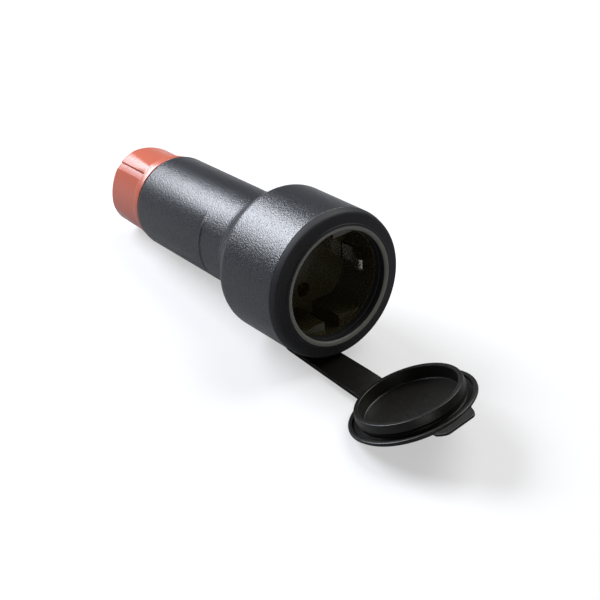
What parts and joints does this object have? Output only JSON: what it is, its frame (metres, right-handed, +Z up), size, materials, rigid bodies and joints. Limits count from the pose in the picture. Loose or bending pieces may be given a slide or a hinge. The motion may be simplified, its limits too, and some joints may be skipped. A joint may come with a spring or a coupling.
{
  "type": "inline socket connector",
  "caption": "Round rubber-bodied inline mains socket with a recessed face, earth clips, a hinged splash lid on a strap and a threaded cable gland nut at the rear.",
  "frame": {"origin": "centre of the socket insert's front edge, where the mouth of the collar ends", "axes": "+Z up from the table; +Y towards the gland, level; +X to the right when looking into the back; the connector's own axis dips 7.03 degrees from +Y towards the gland"},
  "size_m": [0.0563, 0.2022, 0.059],
  "materials": {
    "housing": "matt, finely textured",
    "collar": "matt, smooth",
    "insert": "matt",
    "lid": "matt, smooth",
    "nut": "satin",
    "carrier": "matt",
    "seal": "matt",
    "brass": "drawn",
    "nickel": "nickel plated",
    "steel": "zinc plated"
  },
  "bodies": {
    "connector": {"housing": "housing", "front_collar": "collar", "socket_insert": "insert", "earth_bracket": "nickel", "live_contact": "brass", "neutral_contact": "brass", "contact_springs": "steel", "earth_terminal": "brass", "terminal_block": "carrier", "terminal_screws": "steel", "wire_clamps": "steel", "carrier_screws": "steel", "clamp_basket": "carrier", "gland_seal": "seal", "spigot_seal": "seal"},
    "lid": {"lid": "lid", "lid_strap": "lid"},
    "gland_ring": {"thrust_washer": "carrier"},
    "gland_nut": {"gland_nut": "nut"}
  },
  "joints": [
    {"name": "lid_swing", "type": "hinge", "parent": "connector", "child": "lid", "pos_m": [0.00141, -0.01569, -0.03894], "axis": [-0.9863, 0.1505, -0.0675], "range_deg": [0, 77.3], "stiffness_Nm_per_rad": 0.0015, "deforming": ["lid_strap"]},
    {"name": "gland_travel", "type": "slide", "parent": "connector", "child": "gland_ring", "axis": [0, 0.9925, -0.1223], "range_m": [0, 0.009]},
    {"name": "gland_turn", "type": "hinge", "parent": "gland_ring", "child": "gland_nut", "pos_m": [0, 0, 0], "axis": [0, 0.9925, -0.1223], "range_deg": [0, 1080]}
  ],
  "couplings": [
    {"joint": "gland_turn", "follows": "gland_travel", "rad_per_m": 2094.4}
  ]
}
